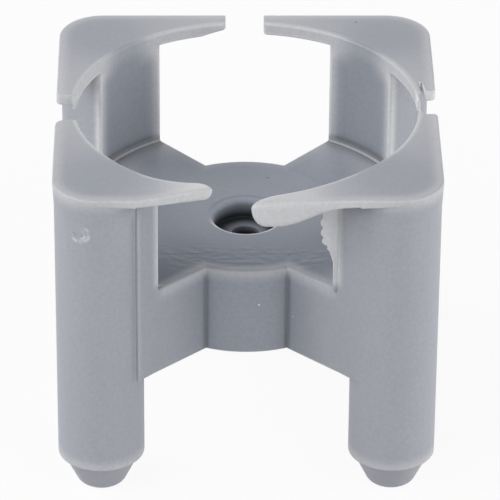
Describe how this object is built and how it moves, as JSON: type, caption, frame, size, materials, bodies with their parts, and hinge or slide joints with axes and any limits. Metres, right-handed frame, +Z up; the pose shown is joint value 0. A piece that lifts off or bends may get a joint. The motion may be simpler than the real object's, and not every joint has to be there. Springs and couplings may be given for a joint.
{
  "type": "rebar chair",
  "caption": "Moulded plastic rebar chair: bar seat on a round hub, round legs with tapered feet, and a ring of thin retaining horns round an open throat.",
  "frame": {"origin": "on the ground, under the middle of the chair", "axes": "+Z up, -Y towards the side whose two horns are bent, X along the sides of the square ring"},
  "size_m": [0.0424, 0.0424, 0.0402],
  "materials": {
    "plastic": "satin"
  },
  "bodies": {
    "root": {"chair": "plastic"}
  },
  "joints": []
}
